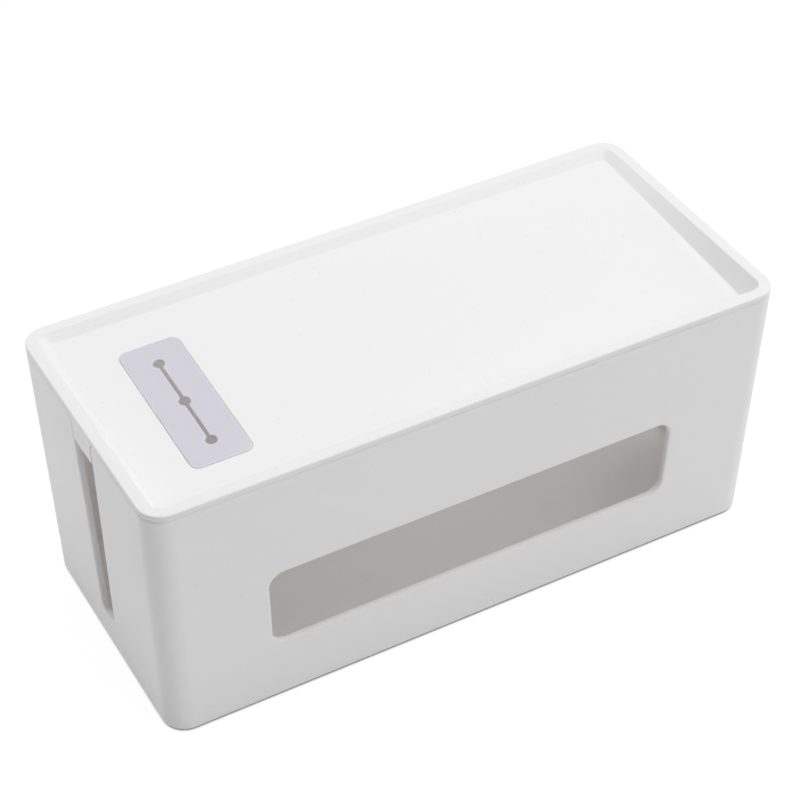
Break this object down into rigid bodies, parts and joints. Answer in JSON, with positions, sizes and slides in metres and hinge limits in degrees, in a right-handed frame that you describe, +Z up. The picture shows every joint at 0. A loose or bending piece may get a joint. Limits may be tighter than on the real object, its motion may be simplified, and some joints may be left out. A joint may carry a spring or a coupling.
{
  "type": "cable management box",
  "caption": "Long box with tapering walls, a window in the front, cable slots in the ends, and a lift-off lid with a sloped tray and a soft grommet of round holes joined by a slit.",
  "frame": {"origin": "on the plane the feet stand on, under the centre of the box", "axes": "+X along the box towards the end away from the grommet, +Y towards the closed back wall (the windowed front faces -Y), +Z up"},
  "size_m": [0.32, 0.1422, 0.1379],
  "materials": {
    "white_plastic": "fine satin moulded surface",
    "soft_grey": "soft matt",
    "foot_rubber": "matt"
  },
  "bodies": {
    "box": {"box_body": "white_plastic", "foot_front_left": "foot_rubber", "foot_front_right": "foot_rubber", "foot_back_left": "foot_rubber", "foot_back_right": "foot_rubber"},
    "lid": {"lid": "white_plastic"},
    "grommet": {"cable_grommet": "soft_grey"}
  },
  "joints": [
    {"name": "lid_lift", "type": "slide", "parent": "box", "child": "lid", "axis": [0, 0, 1], "range_m": [0, 0.12]},
    {"name": "grommet_pull", "type": "slide", "parent": "lid", "child": "grommet", "axis": [0, -0.0649, 0.9979], "range_m": [0, 0.03]}
  ]
}
